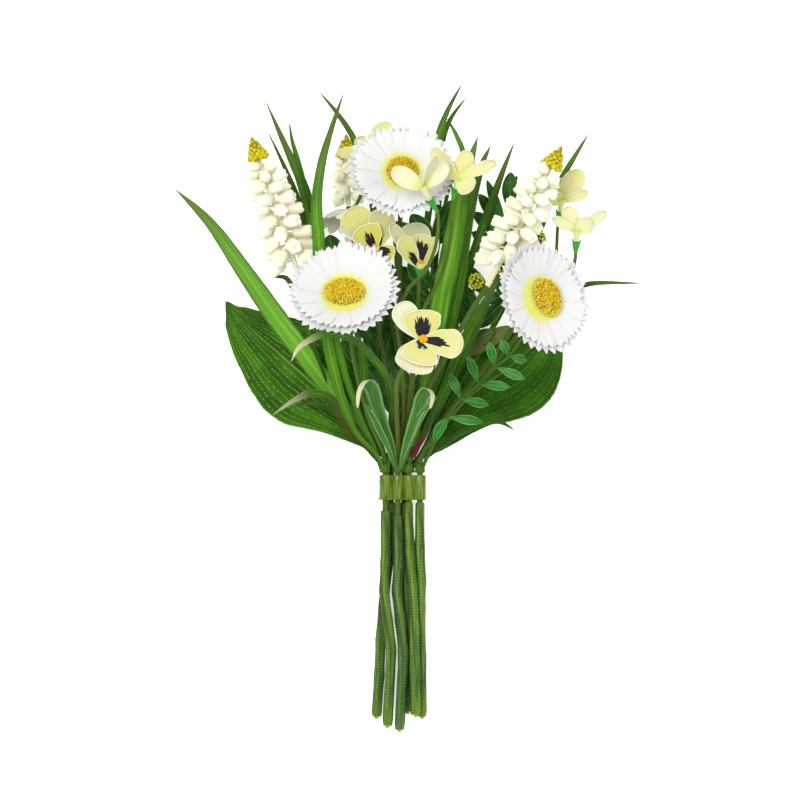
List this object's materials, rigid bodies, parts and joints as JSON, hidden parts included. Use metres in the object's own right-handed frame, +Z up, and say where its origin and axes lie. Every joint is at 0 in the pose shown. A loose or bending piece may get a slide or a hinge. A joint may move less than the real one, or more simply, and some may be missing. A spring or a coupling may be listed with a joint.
{
  "type": "bunch of artificial daisies",
  "caption": "Small mixed bunch of artificial daisies, pansies, hyacinth spikes, star flowers, grass and leaves, clipped round bare stems, lying on its back.",
  "frame": {"origin": "middle of the clip's flat underside, on the surface the bunch lies on", "axes": "+Y along the stems towards the flowers, +X to the right as seen from above, +Z up from the surface"},
  "size_m": [0.2353, 0.3263, 0.0977],
  "materials": {
    "clip_plastic": "moulded, half gloss",
    "stem_sleeve": "rough moulded skin with fine lengthwise marks",
    "stalk_green": "moulded, matt",
    "grass_green": "ribbed lengthwise, half matt",
    "broad_leaf": "coated cloth with stamped veins",
    "dark_leaf": "moulded, matt",
    "daisy_white": "stamped cloth with fine creases",
    "daisy_yellow": "fuzzy flock",
    "bud_yellow": "matt",
    "cream_petal": "stamped cloth, printed",
    "bell_cream": "moulded, matt",
    "tip_lime": "moulded, pebbled"
  },
  "bodies": {
    "root": {"buds_left": "bud_yellow", "buds_middle": "bud_yellow", "buds_right": "bud_yellow", "clip_band": "clip_plastic", "daisy_left_disc": "daisy_yellow", "daisy_left_petals": "daisy_white", "daisy_left_upper": "daisy_white", "daisy_nodding_disc": "daisy_yellow", "daisy_nodding_petals": "daisy_white", "daisy_right_disc": "daisy_yellow", "daisy_right_petals": "daisy_white", "daisy_right_upper": "daisy_white", "daisy_top_disc": "daisy_yellow", "daisy_top_petals": "daisy_white", "daisy_top_upper": "daisy_white", "foliage_middle": "dark_leaf", "foliage_right": "dark_leaf", "grass_back": "grass_green", "grass_left": "grass_green", "grass_low_left": "grass_green", "grass_right": "grass_green", "hyacinth_back_bells": "bell_cream", "hyacinth_back_tip": "tip_lime", "hyacinth_left_bells": "bell_cream", "hyacinth_left_tip": "tip_lime", "hyacinth_right_bells": "bell_cream", "hyacinth_right_tip": "tip_lime", "leaf_left": "broad_leaf", "leaf_right": "broad_leaf", "leaf_tuft_front": "dark_leaf", "pansy_front_eye": "bud_yellow", "pansy_front_petals": "cream_petal", "pansy_left_petals": "cream_petal", "pansy_middle_petals": "cream_petal", "sleeve_back": "stem_sleeve", "sleeve_far_left": "stem_sleeve", "sleeve_left": "stem_sleeve", "sleeve_mid_left": "stem_sleeve", "sleeve_mid_right": "stem_sleeve", "sleeve_right": "stem_sleeve", "sprig_right": "dark_leaf", "stalks_back": "stalk_green", "stalks_far_left": "stalk_green", "stalks_front": "stalk_green", "stalks_left": "stalk_green", "stalks_mid_right": "stalk_green", "stalks_right": "stalk_green", "star_back_left": "cream_petal", "star_beside_daisy": "cream_petal", "star_over_daisy": "cream_petal", "star_right_high": "cream_petal", "star_right_low": "cream_petal"}
  },
  "joints": []
}
